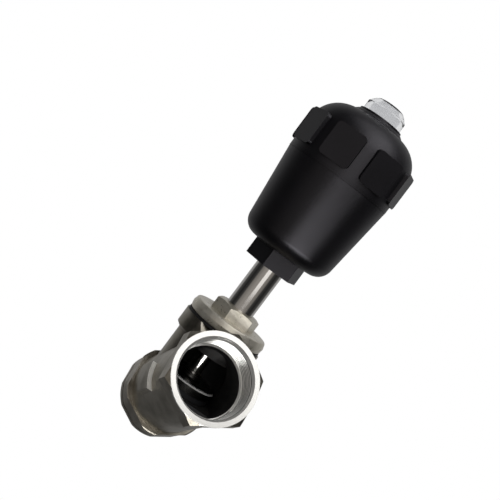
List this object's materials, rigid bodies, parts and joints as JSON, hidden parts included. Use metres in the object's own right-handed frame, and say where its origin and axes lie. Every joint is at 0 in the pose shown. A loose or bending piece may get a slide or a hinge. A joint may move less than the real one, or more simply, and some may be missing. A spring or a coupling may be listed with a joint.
{
  "type": "angle valve",
  "caption": "Pneumatic angle-seat valve: threaded inline stainless body, slanted stem tube and black piston actuator with clear position dome.",
  "frame": {"origin": "on the flow axis, where the thread of the inlet port starts, 3 mm inside its face", "axes": "+X along the flow, from the inlet to the outlet port; the stem leans towards +X in the XZ plane at 60 degrees to the flow axis, actuator upwards; +Y across"},
  "size_m": [0.1993, 0.095, 0.2772],
  "materials": {
    "cast_steel": "investment-cast stainless steel, glass-bead blasted and pickled",
    "bright_steel": "drawn and ground stainless steel",
    "turned_steel": "turned stainless steel",
    "spring_steel": "wound stainless spring wire",
    "bronze": "bearing bronze",
    "brass_inserts": "turned brass",
    "graphite_gasket": "pressed graphite",
    "white_ptfe": "white fluoropolymer",
    "black_rubber": "moulded rubber",
    "black_plastic": "moulded glass-filled nylon, fine satin texture",
    "white_plastic": "moulded white plastic",
    "clear_plastic": "clear moulded polycarbonate"
  },
  "bodies": {
    "valve": {"valve_body": "cast_steel", "bonnet_gasket": "graphite_gasket", "bonnet": "cast_steel", "stem_tube": "bright_steel", "lower_guide_bush": "bronze", "packing_foot_washer": "turned_steel", "packing_spring": "spring_steel", "packing_head_washer": "turned_steel", "packing_rings": "white_ptfe", "packing_gland": "bronze", "spindle_wiper": "black_rubber", "upper_guide_bush": "bronze", "tube_nut": "turned_steel"},
    "actuator": {"lower_housing": "black_plastic", "swivel_bush": "brass_inserts", "thrust_washer": "white_ptfe", "upper_cover": "black_plastic", "cover_o_ring": "black_rubber", "outer_return_spring": "spring_steel", "inner_return_spring": "spring_steel", "spring_plate": "turned_steel", "indicator_dome": "clear_plastic", "control_port_insert": "brass_inserts", "vent_port_insert": "brass_inserts"},
    "spindle_group": {"spindle": "bright_steel", "plug": "turned_steel", "plug_seal": "white_ptfe", "plug_clamp_washer": "turned_steel", "plug_nut": "turned_steel", "piston": "black_plastic", "piston_lip_seal": "black_rubber", "piston_guide_ring": "white_ptfe", "piston_washer": "turned_steel", "piston_nut": "turned_steel", "indicator_rod": "bright_steel", "position_indicator": "white_plastic"}
  },
  "joints": [
    {"name": "actuator_swivel", "type": "hinge", "parent": "valve", "child": "actuator", "pos_m": [0.038, 0, 0], "axis": [0.5, 0, 0.866], "continuous": true},
    {"name": "spindle_stroke", "type": "slide", "parent": "valve", "child": "spindle_group", "axis": [0.5, 0, 0.866], "range_m": [0, 0.014], "stiffness_N_per_m": 3000, "springref_m": -0.01, "deforming": ["outer_return_spring", "inner_return_spring"]}
  ]
}
